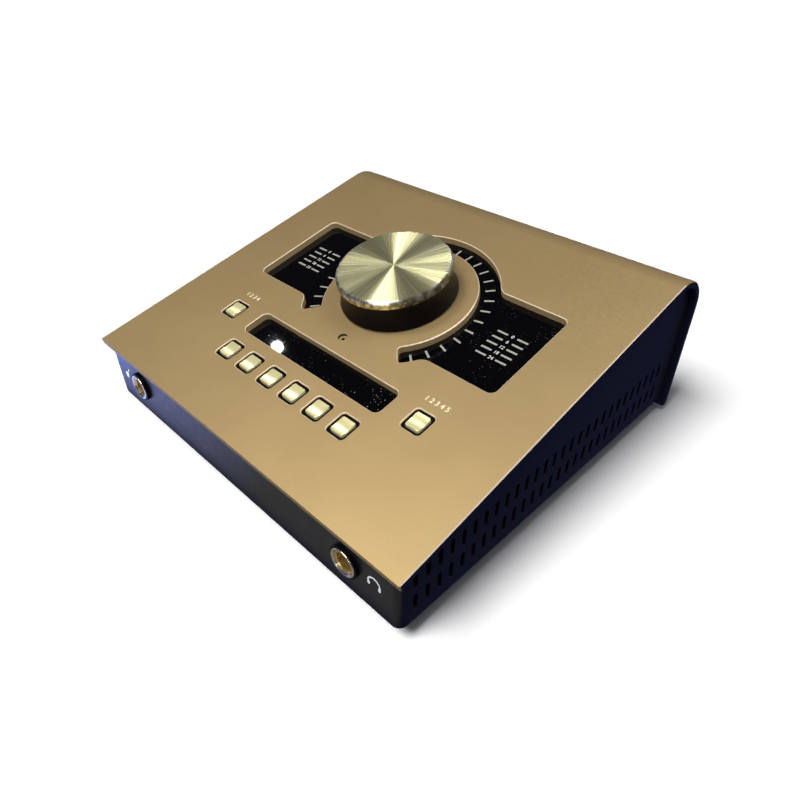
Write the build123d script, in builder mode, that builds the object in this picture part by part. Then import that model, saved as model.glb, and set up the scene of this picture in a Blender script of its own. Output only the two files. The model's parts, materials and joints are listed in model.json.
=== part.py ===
from build123d import *
import math
import os

os.makedirs("parts", exist_ok=True)

# ------------------------------------------------------------------ driving dimensions (mm, degrees)
# Frame: X to the right, Y to the back, Z up, origin under the middle of the bounding box on the desk.
width = 160.3
depth = 151.0
slope = 13.0
shell_wall = 2.6
rim_radius = 0.4
edge_height = 30.3
rear_radius = 15.0
leg_bottom = 2.8

foot_height = 6.6
chassis_inset = 2.0
chassis_wall = 1.6
chassis_gap = 0.1
base_thickness = 1.5

collar_proud = 1.6
jack_x = 57.4
jack_z = foot_height + 11.9
plug_bore_radius = 3.2

button_pitch = 12.1
button_row = 26.6
side_button_x = 47.7
side_button_row = 41.5
opening_x = 8.0
opening_y = 8.6
button_travel = 0.8

display_row = 41.6
display_length = 70.6
display_height = 11.1

knob_row = 82.8
knob_radius = 21.1
knob_height = 12.5
ring_inner = 29.1
ring_outer = 36.6
ring_end_angle = 137.0
wing_half_length = 58.9
wing_half_height = 20.1
tick_radius = 32.7
tick_count = 27
tick_step = 10.0
bar_column = 42.5
bar_spacing = 8.15
bar_pitch = 2.93

mic_row = 54.2
board_thickness = 1.6
panel_board_depth = 9.6

# ------------------------------------------------------------------ derived places
front = -depth / 2
rear = front + depth
theta = math.radians(slope)
chassis_front = front + chassis_inset
chassis_half = width / 2 - chassis_inset
inner_half = chassis_half - chassis_wall
inner_front = chassis_front + chassis_wall
base_top = foot_height + base_thickness
leg_inner = rear - shell_wall

# The sloping top surface: local x to the right, local y up the slope, local z out of the panel.
panel = Plane(origin=(0, front, edge_height), x_dir=(1, 0, 0), z_dir=(0, -math.sin(theta), math.cos(theta)))


def slope_z(y, inset):
    """Height of the line that lies inset below the sloping top surface, at depth y."""
    return edge_height + (y - front) * math.tan(theta) - inset / math.cos(theta)


def panel_plane(x, s, h):
    """Plane parallel to the sloping top, at local place x, s and height h above its surface."""
    origin = panel.from_local_coords(Vector(x, s, h))
    return Plane(origin=origin, x_dir=panel.x_dir, z_dir=panel.z_dir)


def rear_plane(x, z, inset=0.0):
    """Plane facing backwards at the rear panel's outer face, moved inwards by inset."""
    return Plane(origin=(x, rear_panel_outer - inset, z), x_dir=(-1, 0, 0), z_dir=(0, 1, 0))


def front_plane(x, z, proud=0.0):
    """Plane facing forwards at the chassis's front face, moved forwards by proud."""
    return Plane(origin=(x, chassis_front - proud, z), x_dir=(1, 0, 0), z_dir=(0, -1, 0))


def save(builder, label):
    builder.part.label = label
    export_step(builder.part, "parts/" + label + ".step")


rear_panel_thickness = 1.5
rear_panel_outer = leg_inner - chassis_gap
rear_panel_inner = rear_panel_outer - rear_panel_thickness

button_places = [(button_pitch * (i - 2.5), button_row) for i in range(6)]
button_places += [(-side_button_x, side_button_row), (side_button_x, side_button_row)]
button_names = ["row_button_%d" % (i + 1) for i in range(6)] + ["left_button", "right_button"]

# ------------------------------------------------------------------ window outlines on the sloping top
wedge_reach = 3 * ring_outer
wedge_x = wedge_reach * math.sin(math.radians(ring_end_angle))
wedge_y = wedge_reach * math.cos(math.radians(ring_end_angle))
wing_corner_x = math.sqrt(ring_outer ** 2 - wing_half_height ** 2)

with BuildSketch() as meter_window:
    Circle(ring_outer)
    Rectangle(2 * wing_half_length, 2 * wing_half_height)
    Circle(ring_inner, mode=Mode.SUBTRACT)
    with BuildLine():
        Polyline((0, 0), (wedge_x, wedge_y), (0, -wedge_reach * 1.5), (-wedge_x, wedge_y), close=True)
    make_face(mode=Mode.SUBTRACT)
    concave = [v for v in meter_window.vertices()
               if abs(abs(v.X) - wing_corner_x) < 0.2 and abs(abs(v.Y) - wing_half_height) < 0.2]
    fillet(concave, 5.0)
    wing_corners = [v for v in meter_window.vertices() if abs(v.X) > wing_half_length - 0.1]
    fillet(wing_corners, 2.6)
    ring_ends = [v for v in meter_window.vertices() if v.Y < -0.7 * ring_inner and abs(v.X) < ring_inner]
    fillet([v for v in ring_ends if v.Y < -wing_half_height - 1 and abs(v.X) < 27], 1.5)

with BuildSketch() as display_window:
    RectangleRounded(display_length, display_height, 2.4)

# ------------------------------------------------------------------ outer shell: one bent plate
with BuildPart() as top_shell:
    with BuildSketch(Plane.YZ.offset(-width / 2)):
        with BuildLine():
            outer_start = (front, edge_height)
            inner_start = (front + shell_wall * math.sin(theta), edge_height - shell_wall * math.cos(theta))
            FilletPolyline(
                outer_start,
                (rear, slope_z(rear, 0)),
                (rear, leg_bottom),
                (leg_inner, leg_bottom),
                radius=[rear_radius, 1.2],
            )
            FilletPolyline(
                inner_start,
                (leg_inner, slope_z(leg_inner, shell_wall)),
                (leg_inner, leg_bottom),
                radius=rear_radius - shell_wall,
            )
            Line(outer_start, inner_start)
        make_face()
    extrude(amount=width)
    side_faces = top_shell.faces().sort_by(Axis.X)
    chamfer(side_faces[0].edges() + side_faces[-1].edges(), 0.35)
    # buttons
    with BuildSketch(panel):
        with Locations(*button_places):
            RectangleRounded(opening_x, opening_y, 1.5)
    extrude(amount=-2 * shell_wall, mode=Mode.SUBTRACT)
    # display and meter windows
    with BuildSketch(panel_plane(0, display_row, 0)):
        add(display_window.sketch)
    extrude(amount=-2 * shell_wall, mode=Mode.SUBTRACT)
    with BuildSketch(panel_plane(0, knob_row, 0)):
        add(meter_window.sketch)
    extrude(amount=-2 * shell_wall, mode=Mode.SUBTRACT)
    # softly rounded rim round every opening
    surface_edges = top_shell.edges().filter_by(
        lambda e: all(abs(panel.to_local_coords(v.center()).Z) < 0.01 for v in e.vertices())
        and abs(panel.to_local_coords(e.center()).Z) < 0.01
    )
    rim_edges = surface_edges.filter_by(
        lambda e: abs(e.center().X) < width / 2 - 5 and 10 < panel.to_local_coords(e.center()).Y < 125
    )
    fillet(rim_edges, rim_radius)
    # encoder bushing
    with Locations(panel_plane(0, knob_row, 0)):
        Hole(3.8, depth=2 * shell_wall)
    # microphone dimple with a fine port in its middle
    with Locations(panel_plane(0, mic_row, 0)):
        CounterBoreHole(0.6, 1.75, 0.9, depth=2 * shell_wall)
    # opening for the connectors in the rear leg
    with BuildSketch(Plane(origin=(0, rear + 1, 26.5), x_dir=(-1, 0, 0), z_dir=(0, 1, 0))):
        RectangleRounded(142, 35, 4)
    extrude(amount=-2 * shell_wall, mode=Mode.SUBTRACT)
save(top_shell, "top_shell")

# ------------------------------------------------------------------ chassis: front and two side walls
slot_pitch = 4.8
slot_columns = 28
slot_rows_z = (foot_height + 7.7, foot_height + 17.4)
slot_first_y = front + 8.0
slot_mid_y = slot_first_y + slot_pitch * (slot_columns - 1) / 2
slot_mid_z = sum(slot_rows_z) / 2
tab_places = [(sx * (inner_half - 5), y) for sx in (-1, 1) for y in (inner_front + 26, 0, leg_inner - 28)]

with BuildPart() as chassis:
    with BuildSketch(Plane.YZ.offset(-chassis_half)):
        with BuildLine():
            side_inset = shell_wall + chassis_gap
            rear_in = leg_inner - chassis_gap
            FilletPolyline(
                (chassis_front, slope_z(chassis_front, side_inset)),
                (rear_in, slope_z(rear_in, side_inset)),
                (rear_in, foot_height),
                radius=rear_radius - side_inset,
            )
            Polyline(
                (rear_in, foot_height),
                (chassis_front, foot_height),
                (chassis_front, slope_z(chassis_front, side_inset)),
            )
        make_face()
    extrude(amount=2 * chassis_half)
    corner_edges = chassis.edges().filter_by(Axis.Z).group_by(Axis.Y)[0]
    fillet(corner_edges, 3.0)
    with BuildSketch(Plane.XY):
        with Locations((0, (inner_front + rear + 10) / 2)):
            Rectangle(2 * inner_half, rear + 10 - inner_front)
    extrude(amount=100, mode=Mode.SUBTRACT)
    # two rows of vertical vents through both sides
    with BuildSketch(Plane.YZ.offset(-width)):
        with Locations((slot_mid_y, slot_mid_z)):
            with GridLocations(slot_pitch, slot_rows_z[1] - slot_rows_z[0], slot_columns, 2):
                SlotOverall(6.8, 1.7, rotation=90)
    extrude(amount=2 * width, mode=Mode.SUBTRACT)
    # holes for the front sockets
    with BuildSketch(front_plane(0, jack_z, 1)):
        with Locations((-jack_x, 0), (jack_x, 0)):
            Circle(5.1)
    extrude(amount=-(chassis_wall + 2), mode=Mode.SUBTRACT)
    # tapped tabs that take the base screws
    for x, y in tab_places:
        with BuildSketch(Plane.XY.offset(base_top)):
            with Locations((x, y)):
                Rectangle(10, 9)
                Circle(1.25, mode=Mode.SUBTRACT)
        extrude(amount=1.3)
save(chassis, "chassis")

# ------------------------------------------------------------------ base plate, feet and their screws
base_rear = leg_inner - 3.0
with BuildPart() as base_plate:
    with BuildSketch(Plane.XY.offset(foot_height)):
        with Locations((0, (inner_front + base_rear) / 2 + 0.1)):
            RectangleRounded(2 * inner_half - 0.4, base_rear - inner_front - 0.4, 1.4)
        with Locations(*tab_places):
            Circle(1.6, mode=Mode.SUBTRACT)
        with Locations((0, 6)):
            with GridLocations(8.0, 24.0, 9, 3):
                SlotOverall(16, 2.4, rotation=90, mode=Mode.SUBTRACT)
    extrude(amount=base_thickness)
save(base_plate, "base_plate")

foot_places = [(-58, front + 16), (58, front + 16), (-58, rear - 25), (58, rear - 25)]
with BuildPart() as rubber_feet:
    with BuildSketch():
        with Locations(*foot_places):
            Circle(8.0)
    extrude(amount=foot_height - 0.02, taper=-4)
    fillet(rubber_feet.faces().group_by(Axis.Z)[0].edges(), 1.0)
save(rubber_feet, "rubber_feet")

with BuildPart() as base_screws:
    for x, y in tab_places:
        with BuildSketch(Plane((x, y, foot_height - 1.3))):
            Circle(2.9)
            RegularPolygon(1.1, 6, mode=Mode.SUBTRACT)
        extrude(amount=1.3)
        with BuildSketch(Plane((x, y, foot_height - 0.4))):
            Circle(1.2)
        extrude(amount=4.0)
save(base_screws, "base_screws")

# ------------------------------------------------------------------ rear panel and the places on it
combo_places = {1: (-52.0, 26.0), 2: (-24.5, 26.0)}
output_places = {1: (1.0, 18.2), 2: (1.0, 35.0), 3: (18.0, 18.2), 4: (18.0, 35.0)}
optical_place = (34.0, 33.5)
data_place = (34.0, 18.2)
inlet_place = (57.5, 17.0)
switch_place = (57.5, 33.0)
combo_size = 25.0
rear_screw_places = [(-67.5, 13.0), (-67.5, 39.5), (-9.1, 13.0), (-9.1, 39.5), (43.4, 39.5), (68.0, 13.0)]

with BuildPart() as rear_panel:
    with BuildSketch(rear_plane(0, 26.0)):
        Rectangle(2 * inner_half - 0.4, 40.0)
        with Locations(*[(-x, z - 26.0) for x, z in combo_places.values()]):
            Rectangle(combo_size + 0.3, combo_size + 0.3, mode=Mode.SUBTRACT)
        with Locations(*[(-x, z - 26.0) for x, z in output_places.values()]):
            Circle(4.85, mode=Mode.SUBTRACT)
        with Locations((-optical_place[0], optical_place[1] - 26.0)):
            Rectangle(9.9, 9.9, mode=Mode.SUBTRACT)
        with Locations((-data_place[0], data_place[1] - 26.0)):
            SlotOverall(9.4, 3.7, mode=Mode.SUBTRACT)
        with Locations((-inlet_place[0], inlet_place[1] - 26.0)):
            Circle(5.1, mode=Mode.SUBTRACT)
        with Locations((-switch_place[0], switch_place[1] - 26.0)):
            Rectangle(19.2, 12.7, mode=Mode.SUBTRACT)
        with Locations(*[(-x, z - 26.0) for x, z in rear_screw_places]):
            Circle(1.3, mode=Mode.SUBTRACT)
    extrude(amount=-rear_panel_thickness)
save(rear_panel, "rear_panel")

with BuildPart() as rear_screws:
    for x, z in rear_screw_places:
        with BuildSketch(rear_plane(x, z)):
            Circle(2.3)
            RegularPolygon(0.9, 6, mode=Mode.SUBTRACT)
        extrude(amount=1.2)
        with BuildSketch(rear_plane(x, z)):
            Circle(1.15)
        extrude(amount=-5)
save(rear_screws, "rear_screws")

# ------------------------------------------------------------------ front sockets, one function for both
jack_body_height = 12.4
ring_radius = 4.85
ring_bore = 3.9


def front_socket(prefix, x):
    """Black collar, bright ring, brass sleeve and body of one front socket."""
    with BuildPart() as collar:
        with BuildSketch(front_plane(x, jack_z)):
            Circle(5.45)
            Circle(ring_radius + 0.05, mode=Mode.SUBTRACT)
        extrude(amount=collar_proud - 0.3)
        chamfer(collar.edges().group_by(Axis.Y)[0], 0.15)
    save(collar, prefix + "_collar")
    with BuildPart() as ring:
        with BuildSketch(front_plane(x, jack_z)):
            Circle(ring_radius)
            Circle(ring_bore, mode=Mode.SUBTRACT)
        extrude(amount=collar_proud)
        front_edges = ring.edges().group_by(Axis.Y)[0].sort_by(SortBy.LENGTH)
        chamfer(front_edges[0], 0.45)
        fillet(front_edges[-1], 0.3)
    save(ring, prefix + "_ring")
    with BuildPart() as sleeve:
        with BuildSketch(front_plane(x, jack_z, collar_proud - 0.5)):
            Circle(ring_bore - 0.1)
            Circle(plug_bore_radius, mode=Mode.SUBTRACT)
        extrude(amount=-14.2)
        chamfer(sleeve.edges().group_by(Axis.Y)[0].sort_by(SortBy.LENGTH)[0], 0.45)
    save(sleeve, prefix + "_sleeve")
    with BuildPart() as body:
        with BuildSketch(front_plane(x, jack_z, -chassis_wall - 0.1)):
            Rectangle(14, jack_body_height)
            Circle(3.9, mode=Mode.SUBTRACT)
        extrude(amount=-22)
        with BuildSketch(front_plane(x, jack_z, -chassis_wall - 0.1)):
            Circle(4.8)
            Circle(3.9, mode=Mode.SUBTRACT)
        extrude(amount=1.6)
        with BuildSketch(front_plane(x, jack_z, -chassis_wall - 22.1)):
            Rectangle(14, jack_body_height)
        extrude(amount=-1.2)
    save(body, prefix + "_body")


front_socket("headphone_socket", jack_x)
front_socket("instrument_socket", -jack_x)

# ------------------------------------------------------------------ windows and what lies below them
lens_top = -shell_wall - 0.02
with BuildPart() as meter_lens:
    with BuildSketch(panel_plane(0, knob_row, lens_top)):
        add(meter_window.sketch)
        offset(amount=1.6, kind=Kind.ARC)
    extrude(amount=-1.5)
save(meter_lens, "meter_lens")

with BuildPart() as display_lens:
    with BuildSketch(panel_plane(0, display_row, lens_top)):
        RectangleRounded(display_length + 3, display_height + 2.4, 2.4)
    extrude(amount=-1.2)
save(display_lens, "display_lens")

with BuildPart() as display_module:
    with BuildSketch(panel_plane(0, display_row, lens_top - 1.3)):
        Rectangle(display_length - 2, display_height)
    extrude(amount=-2.4)
save(display_module, "display_module")

guide_top = lens_top - 1.6
with BuildPart() as light_guide:
    with BuildSketch(panel_plane(0, knob_row, guide_top)):
        add(meter_window.sketch)
    extrude(amount=-1.2)
save(light_guide, "light_guide")

with BuildPart() as meter_lamps:
    board_top = panel_plane(0, knob_row, -panel_board_depth)
    lamp_places = []
    for i in range(tick_count):
        angle = math.radians(tick_step * (i - (tick_count - 1) / 2))
        lamp_places.append((tick_radius * math.sin(angle), tick_radius * math.cos(angle)))
    for side in (-1, 1):
        for column in (0, 1):
            for row in range(5):
                lamp_places.append((side * (bar_column + bar_spacing * column), bar_pitch * (row - 2)))
    with BuildSketch(board_top):
        with Locations(*lamp_places):
            Rectangle(1.6, 1.0)
    extrude(amount=0.8)
save(meter_lamps, "meter_lamps")

# ------------------------------------------------------------------ buttons
cap_x = 5.6
cap_y = 6.2
frame_inner_x = cap_x + 0.5
frame_inner_y = cap_y + 0.5
flange_top = -4.2
stem_bottom = -6.0
switch_top = stem_bottom - button_travel - 0.2

with BuildPart() as button_frames:
    for x, s in button_places:
        with BuildSketch(panel_plane(x, s, -shell_wall - 0.05)):
            RectangleRounded(opening_x + 1.8, opening_y + 1.8, 1.8)
            RectangleRounded(frame_inner_x, frame_inner_y, 0.9, mode=Mode.SUBTRACT)
        extrude(amount=-1.2)
        with BuildSketch(panel_plane(x, s, -shell_wall - 0.05)):
            RectangleRounded(opening_x - 0.1, opening_y - 0.1, 1.45)
            RectangleRounded(frame_inner_x, frame_inner_y, 0.9, mode=Mode.SUBTRACT)
        extrude(amount=shell_wall - 0.5)
save(button_frames, "button_frames")

for name, (x, s) in zip(button_names, button_places):
    with BuildPart() as button:
        with BuildSketch(panel_plane(x, s, flange_top)):
            RectangleRounded(cap_x, cap_y, 0.8)
        extrude(amount=-flange_top + 0.25)
        fillet(button.faces().sort_by(Axis.Z)[-1].edges(), 0.35)
        # shallow finger hollow, a cylinder lying across the cap
        with BuildSketch(Plane(origin=panel.from_local_coords(Vector(x - cap_x, s, 0)), x_dir=panel.y_dir,
                               z_dir=panel.x_dir)):
            with Locations((0, 11.9)):
                Circle(12.0)
        extrude(amount=2 * cap_x, mode=Mode.SUBTRACT)
        with BuildSketch(panel_plane(x, s, flange_top)):
            RectangleRounded(cap_x + 1.4, cap_y + 1.4, 0.8)
        extrude(amount=-0.8)
        with BuildSketch(panel_plane(x, s, flange_top - 0.8)):
            Circle(1.4)
        extrude(amount=stem_bottom - flange_top + 0.8)
    save(button, name)

with BuildPart() as tact_switches:
    for x, s in button_places:
        with BuildSketch(panel_plane(x, s, switch_top)):
            Rectangle(6.2, 6.2)
        extrude(amount=-(panel_board_depth + switch_top))
save(tact_switches, "tact_switches")

# ------------------------------------------------------------------ encoder and knob
bushing_radius = 3.5
shaft_radius = 3.0
bushing_bore = shaft_radius + 0.05
encoder_top = -shell_wall - 0.1

with BuildPart() as encoder_body:
    with BuildSketch(panel_plane(0, knob_row, encoder_top)):
        Rectangle(13.4, 12.4)
    extrude(amount=-(panel_board_depth + encoder_top))
    with BuildSketch(panel_plane(0, knob_row, encoder_top)):
        Circle(bushing_radius)
    extrude(amount=-encoder_top + 4.0)
    with BuildSketch(panel_plane(0, knob_row, 5)):
        Circle(bushing_bore)
    extrude(amount=-(5 + panel_board_depth - 0.6), mode=Mode.SUBTRACT)
save(encoder_body, "encoder_body")

with BuildPart() as encoder_nut:
    with BuildSketch(panel_plane(0, knob_row, 0.05)):
        Circle(6.4)
        Circle(bushing_radius + 0.05, mode=Mode.SUBTRACT)
    extrude(amount=0.5)
    with BuildSketch(panel_plane(0, knob_row, 0.55)):
        RegularPolygon(5.8, 6)
        Circle(bushing_radius + 0.05, mode=Mode.SUBTRACT)
    extrude(amount=1.8)
save(encoder_nut, "encoder_nut")

plunger_top = -5.6
with BuildPart() as encoder_plunger:
    with BuildSketch(panel_plane(0, knob_row, plunger_top)):
        Circle(2.6)
    extrude(amount=-2.6)
save(encoder_plunger, "encoder_plunger")

with BuildPart() as encoder_shaft:
    with BuildSketch(panel_plane(0, knob_row, plunger_top + 0.05)):
        Circle(shaft_radius)
    extrude(amount=knob_height - 2.6 - plunger_top)
save(encoder_shaft, "encoder_shaft")

cap_bottom = knob_height - 2.9
knob_boss = 4.0
with BuildPart() as knob_cap:
    with BuildSketch(panel_plane(0, knob_row, cap_bottom)):
        Circle(knob_radius)
    extrude(amount=knob_height - cap_bottom)
    fillet(knob_cap.faces().sort_by(Axis((0, 0, 0), tuple(panel.z_dir)))[-1].edges(), 1.2)
    with BuildSketch(panel_plane(0, knob_row, cap_bottom)):
        Circle(5.4)
    extrude(amount=-knob_boss)
    with BuildSketch(panel_plane(0, knob_row, cap_bottom - 5)):
        Circle(shaft_radius + 0.04)
    extrude(amount=5.7, mode=Mode.SUBTRACT)
save(knob_cap, "knob_cap")

skirt_bottom = 0.9
skirt_top = cap_bottom - 0.02
with BuildPart() as knob_skirt:
    with BuildSketch(Plane(origin=panel.from_local_coords(Vector(0, knob_row, 0)), x_dir=panel.x_dir,
                           z_dir=-panel.y_dir)):
        with BuildLine():
            Line((5.5, skirt_top), (20.4, skirt_top))
            ThreePointArc((20.4, skirt_top), (20.6, 4.6), (21.8, skirt_bottom))
            Polyline((21.8, skirt_bottom), (19.6, skirt_bottom), (18.0, 3.6), (18.0, skirt_top - 2.0),
                     (5.5, skirt_top - 2.0), (5.5, skirt_top))
        make_face()
    revolve(axis=Axis(tuple(panel.from_local_coords(Vector(0, knob_row, 0))), tuple(panel.z_dir)))
save(knob_skirt, "knob_skirt")

# ------------------------------------------------------------------ microphone
with BuildPart() as talkback_mic:
    with BuildSketch(panel_plane(0, mic_row, -shell_wall - 0.1)):
        Circle(2.0)
    extrude(amount=-3.0)
save(talkback_mic, "talkback_mic")

# ------------------------------------------------------------------ circuit boards
board_start = 29.0
board_end = 122.0
with BuildPart() as control_board:
    with BuildSketch(panel_plane(0, 0, -panel_board_depth - 0.02)):
        with Locations((0, (board_start + board_end) / 2)):
            Rectangle(138, board_end - board_start)
        with Locations((0, board_start - 4)):
            Rectangle(84, 8)
    extrude(amount=-board_thickness)
save(control_board, "control_board")

pillar_places = [(sx * 65.5, s) for sx in (-1, 1) for s in (32.0, 56.0, 118.0)]
with BuildPart() as board_pillars:
    for x, s in pillar_places:
        with BuildSketch(panel_plane(x, s, -shell_wall - 0.02)):
            Circle(2.4)
        extrude(amount=-(panel_board_depth - shell_wall))
save(board_pillars, "board_pillars")

main_board_z = base_top + 1.6
main_rear = rear_panel_inner - 0.6
main_front = inner_front + 2.0
board_screw_places = [(sx * x, y) for sx in (-1, 1) for x, y in ((62, -30), (30, main_front + 6), (62, 30))]
with BuildPart() as main_board:
    with BuildSketch(Plane.XY.offset(main_board_z)):
        with Locations((0, (main_front + main_rear) / 2)):
            RectangleRounded(2 * inner_half - 24, main_rear - main_front, 2)
        with Locations(*board_screw_places):
            Circle(1.6, mode=Mode.SUBTRACT)
    extrude(amount=board_thickness)
save(main_board, "main_board")

with BuildPart() as board_spacers:
    with BuildSketch(Plane.XY.offset(base_top + 0.02)):
        with Locations(*board_screw_places):
            Circle(3.0)
            Circle(1.6, mode=Mode.SUBTRACT)
    extrude(amount=1.56)
save(board_spacers, "board_spacers")

with BuildPart() as board_screws:
    for x, y in board_screw_places:
        with BuildSketch(Plane((x, y, main_board_z + board_thickness + 0.02))):
            Circle(2.6)
        extrude(amount=1.6)
        with BuildSketch(Plane((x, y, main_board_z + board_thickness + 0.02))):
            Circle(1.4)
        extrude(amount=-3.0)
save(board_screws, "board_screws")

board_top_z = main_board_z + board_thickness
with BuildPart() as board_components:
    # processors and converters
    for x, y, side, height in ((-16, -8, 23, 2.2), (22, -14, 17, 1.6), (24, 22, 14, 1.6), (-22, 26, 9, 1.4)):
        with BuildSketch(Plane((x, y, board_top_z + 0.02))):
            Rectangle(side, side)
        extrude(amount=height)
    # supply capacitors
    capacitor_places = [(48 + 11 * (i % 2), -20 + 12 * (i // 2)) for i in range(6)]
    with BuildSketch(Plane.XY.offset(board_top_z + 0.02)):
        with Locations(*capacitor_places):
            Circle(4.0)
    extrude(amount=11)
    # header for the cable up to the control board
    with BuildSketch(Plane((0, -36, board_top_z + 0.02))):
        Rectangle(34, 5.2)
    extrude(amount=7)
save(board_components, "board_components")

# ------------------------------------------------------------------ rear combination sockets
combo_proud = 2.0
combo_depth = 24.0
insert_radius = 7.7
shell_cavity_radius = 9.6
tab_width = 6.0
tab_height = 2.2
tab_travel = 1.2
tab_z = 10.6
socket_drop = 2.0
tab_depth = 8.0

for number, (x, z) in combo_places.items():
    with BuildPart() as combo:
        with BuildSketch(rear_plane(x, z, -combo_proud)):
            RectangleRounded(combo_size, combo_size, 1.2)
        extrude(amount=-combo_depth - combo_proud)
        with BuildSketch(rear_plane(x, z, -combo_proud)):
            with Locations((0, -socket_drop)):
                Circle(shell_cavity_radius)
                Circle(insert_radius, mode=Mode.SUBTRACT)
        extrude(amount=-12, mode=Mode.SUBTRACT)
        with BuildSketch(rear_plane(x, z, -combo_proud)):
            with Locations((0, -socket_drop)):
                Circle(plug_bore_radius)
        extrude(amount=-21, mode=Mode.SUBTRACT)
        with BuildSketch(rear_plane(x, z, -combo_proud)):
            with Locations((-5.2, -0.8), (5.2, -0.8), (0, -7.6)):
                Circle(1.15)
        extrude(amount=-9, mode=Mode.SUBTRACT)
        with BuildSketch(rear_plane(x, z, -combo_proud)):
            with Locations((0, tab_z - tab_travel / 2)):
                Rectangle(tab_width + 0.6, tab_height + tab_travel + 0.6)
        extrude(amount=-tab_depth - 0.6, mode=Mode.SUBTRACT)
    save(combo, "combo_socket_%d" % number)
    with BuildPart() as tab:
        with BuildSketch(rear_plane(x, z, -combo_proud - 0.3)):
            with Locations((0, tab_z)):
                RectangleRounded(tab_width, tab_height, 0.6)
        extrude(amount=-tab_depth)
    save(tab, "latch_tab_%d" % number)

# ------------------------------------------------------------------ rear line outputs
for number, (x, z) in output_places.items():
    with BuildPart() as output_jack:
        with BuildSketch(rear_plane(x, z, rear_panel_thickness + 0.05)):
            RectangleRounded(13.6, 13.6, 0.8)
        extrude(amount=-22)
        with BuildSketch(rear_plane(x, z, rear_panel_thickness + 0.05)):
            Circle(4.75)
        extrude(amount=rear_panel_thickness + 2.3)
        with BuildSketch(rear_plane(x, z, -3)):
            Circle(plug_bore_radius)
        extrude(amount=-24, mode=Mode.SUBTRACT)
    save(output_jack, "output_jack_%d" % number)

with BuildPart() as output_nuts:
    for x, z in output_places.values():
        with BuildSketch(rear_plane(x, z, -0.02)):
            RegularPolygon(7.2, 6)
            Circle(4.8, mode=Mode.SUBTRACT)
        extrude(amount=1.9)
save(output_nuts, "output_nuts")

# ------------------------------------------------------------------ optical port with its spring shutter
optical_opening = 6.4
shutter_side = optical_opening - 0.6
shutter_thickness = 0.7
hinge_stub_radius = 0.34
shutter_hinge = Plane(origin=(optical_place[0], rear_panel_outer - 0.6 - shutter_thickness / 2,
                              optical_place[1] + shutter_side / 2 - 0.36), x_dir=(0, 1, 0), z_dir=(1, 0, 0))
with BuildPart() as optical_port:
    with BuildSketch(rear_plane(*optical_place, -1.0)):
        Rectangle(9.6, 9.6)
    extrude(amount=-14)
    with BuildSketch(rear_plane(*optical_place, -1.0)):
        Rectangle(optical_opening, optical_opening)
    extrude(amount=-9.5, mode=Mode.SUBTRACT)
    # sockets for the shutter's hinge stubs
    with BuildSketch(shutter_hinge):
        Circle(hinge_stub_radius + 0.05)
    extrude(amount=optical_opening / 2 + 0.9, both=True, mode=Mode.SUBTRACT)
save(optical_port, "optical_port")

with BuildPart() as optical_shutter:
    with BuildSketch(rear_plane(*optical_place, 0.6)):
        Rectangle(shutter_side, shutter_side)
    extrude(amount=-shutter_thickness)
    with BuildSketch(shutter_hinge):
        Circle(hinge_stub_radius)
    extrude(amount=optical_opening / 2 + 0.7, both=True)
save(optical_shutter, "optical_shutter")

# ------------------------------------------------------------------ data port: metal shell with its contact tongue
with BuildPart() as data_port:
    with BuildSketch(rear_plane(*data_place, -1.0)):
        SlotOverall(9.1, 3.4)
        SlotOverall(8.4, 2.7, mode=Mode.SUBTRACT)
    extrude(amount=-8)
    with BuildSketch(rear_plane(*data_place, 7.0)):
        SlotOverall(9.1, 3.4)
    extrude(amount=-1.2)
    with BuildSketch(rear_plane(*data_place, 7.0)):
        Rectangle(6.4, 0.7)
    extrude(amount=6.6)
save(data_port, "data_port")

# ------------------------------------------------------------------ power inlet and its centre pin
with BuildPart() as power_inlet:
    with BuildSketch(rear_plane(*inlet_place, rear_panel_thickness + 0.05)):
        Rectangle(14, 11)
    extrude(amount=-12)
    with BuildSketch(rear_plane(*inlet_place, rear_panel_thickness + 0.05)):
        Circle(5.0)
    extrude(amount=rear_panel_thickness + 1.8)
    with BuildSketch(rear_plane(*inlet_place, -3)):
        Circle(3.1)
    extrude(amount=-14, mode=Mode.SUBTRACT)
save(power_inlet, "power_inlet")

with BuildPart() as inlet_pin:
    with BuildSketch(rear_plane(*inlet_place, 11.0)):
        Circle(1.05)
    extrude(amount=10.5)
    fillet(inlet_pin.faces().sort_by(Axis.Y)[-1].edges(), 0.5)
save(inlet_pin, "inlet_pin")

# ------------------------------------------------------------------ rocker power switch
rocker_length = 14.2
rocker_height = 9.0
rocker_tilt = 6.0
pivot_inset = 3.0
rocker_stub_radius = 0.95
rocker_pivot = Plane(origin=(switch_place[0], rear_panel_outer - pivot_inset, switch_place[1]))
with BuildPart() as switch_housing:
    with BuildSketch(rear_plane(*switch_place, -0.05)):
        RectangleRounded(21.0, 14.6, 1.0)
        Rectangle(rocker_length + 0.8, rocker_height + 0.8, mode=Mode.SUBTRACT)
    extrude(amount=1.4)
    with BuildSketch(rear_plane(*switch_place, -0.05)):
        Rectangle(18.8, 12.3)
        Rectangle(rocker_length + 0.8, rocker_height + 0.8, mode=Mode.SUBTRACT)
    extrude(amount=-14)
    with BuildSketch(rear_plane(*switch_place, 13.95)):
        Rectangle(18.8, 12.3)
    extrude(amount=-1.2)
    with BuildSketch(rocker_pivot):
        Circle(rocker_stub_radius + 0.06)
    extrude(amount=rocker_height / 2 + 1.2, both=True, mode=Mode.SUBTRACT)
save(switch_housing, "switch_housing")

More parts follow.
